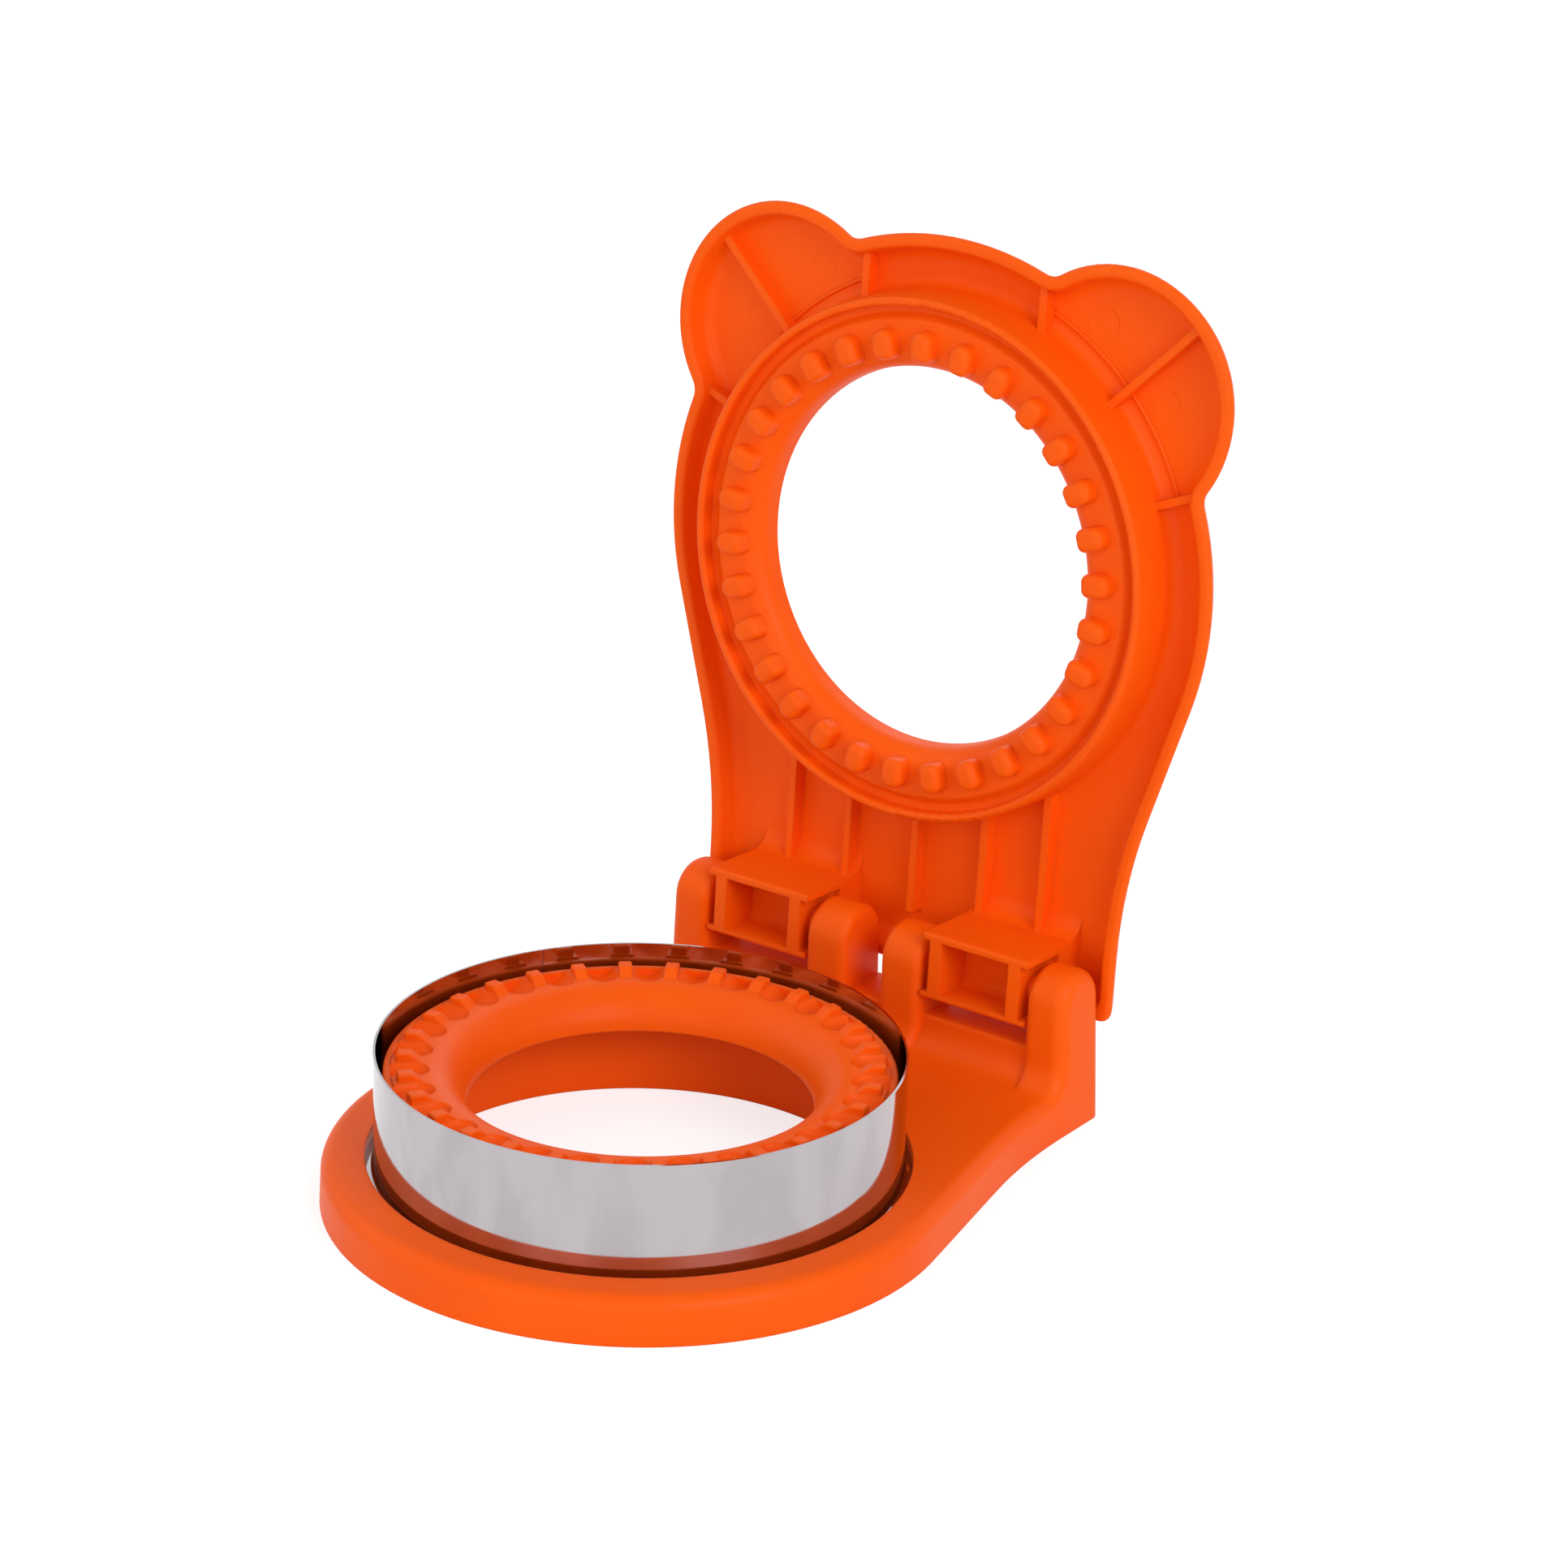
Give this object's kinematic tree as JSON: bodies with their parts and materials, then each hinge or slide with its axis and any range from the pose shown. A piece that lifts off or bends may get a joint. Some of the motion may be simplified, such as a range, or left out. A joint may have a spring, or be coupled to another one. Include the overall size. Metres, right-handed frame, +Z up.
{
  "type": "sandwich cutter and sealer",
  "caption": "Hinged sandwich cutter and sealer: steel cutting ring round a toothed crimping insert in a low plastic base, with a round-eared lid whose pegs press the crust into pockets.",
  "frame": {"origin": "centre of the whole part's footprint box, on the surface it stands on, with the lid open as in the picture", "axes": "+X along the hinge, +Y from the cutting ring towards the hinge and the lid, +Z up"},
  "size_m": [0.1162, 0.1442, 0.1524],
  "materials": {
    "orange_plastic": "smooth moulded, soft gloss",
    "stainless_sheet": "bright rolled sheet, cut edge at the top",
    "screw_steel": "plain zinc-plated"
  },
  "bodies": {
    "base": {"base_shell": "orange_plastic", "crimp_insert": "orange_plastic", "cutter_ring": "stainless_sheet", "insert_screws": "screw_steel"},
    "lid": {"lid_shell": "orange_plastic"}
  },
  "joints": [
    {"name": "lid_hinge", "type": "hinge", "parent": "base", "child": "lid", "pos_m": [0, 0.0528, 0.024], "axis": [1, 0, 0], "range_deg": [0, 92.68]}
  ]
}
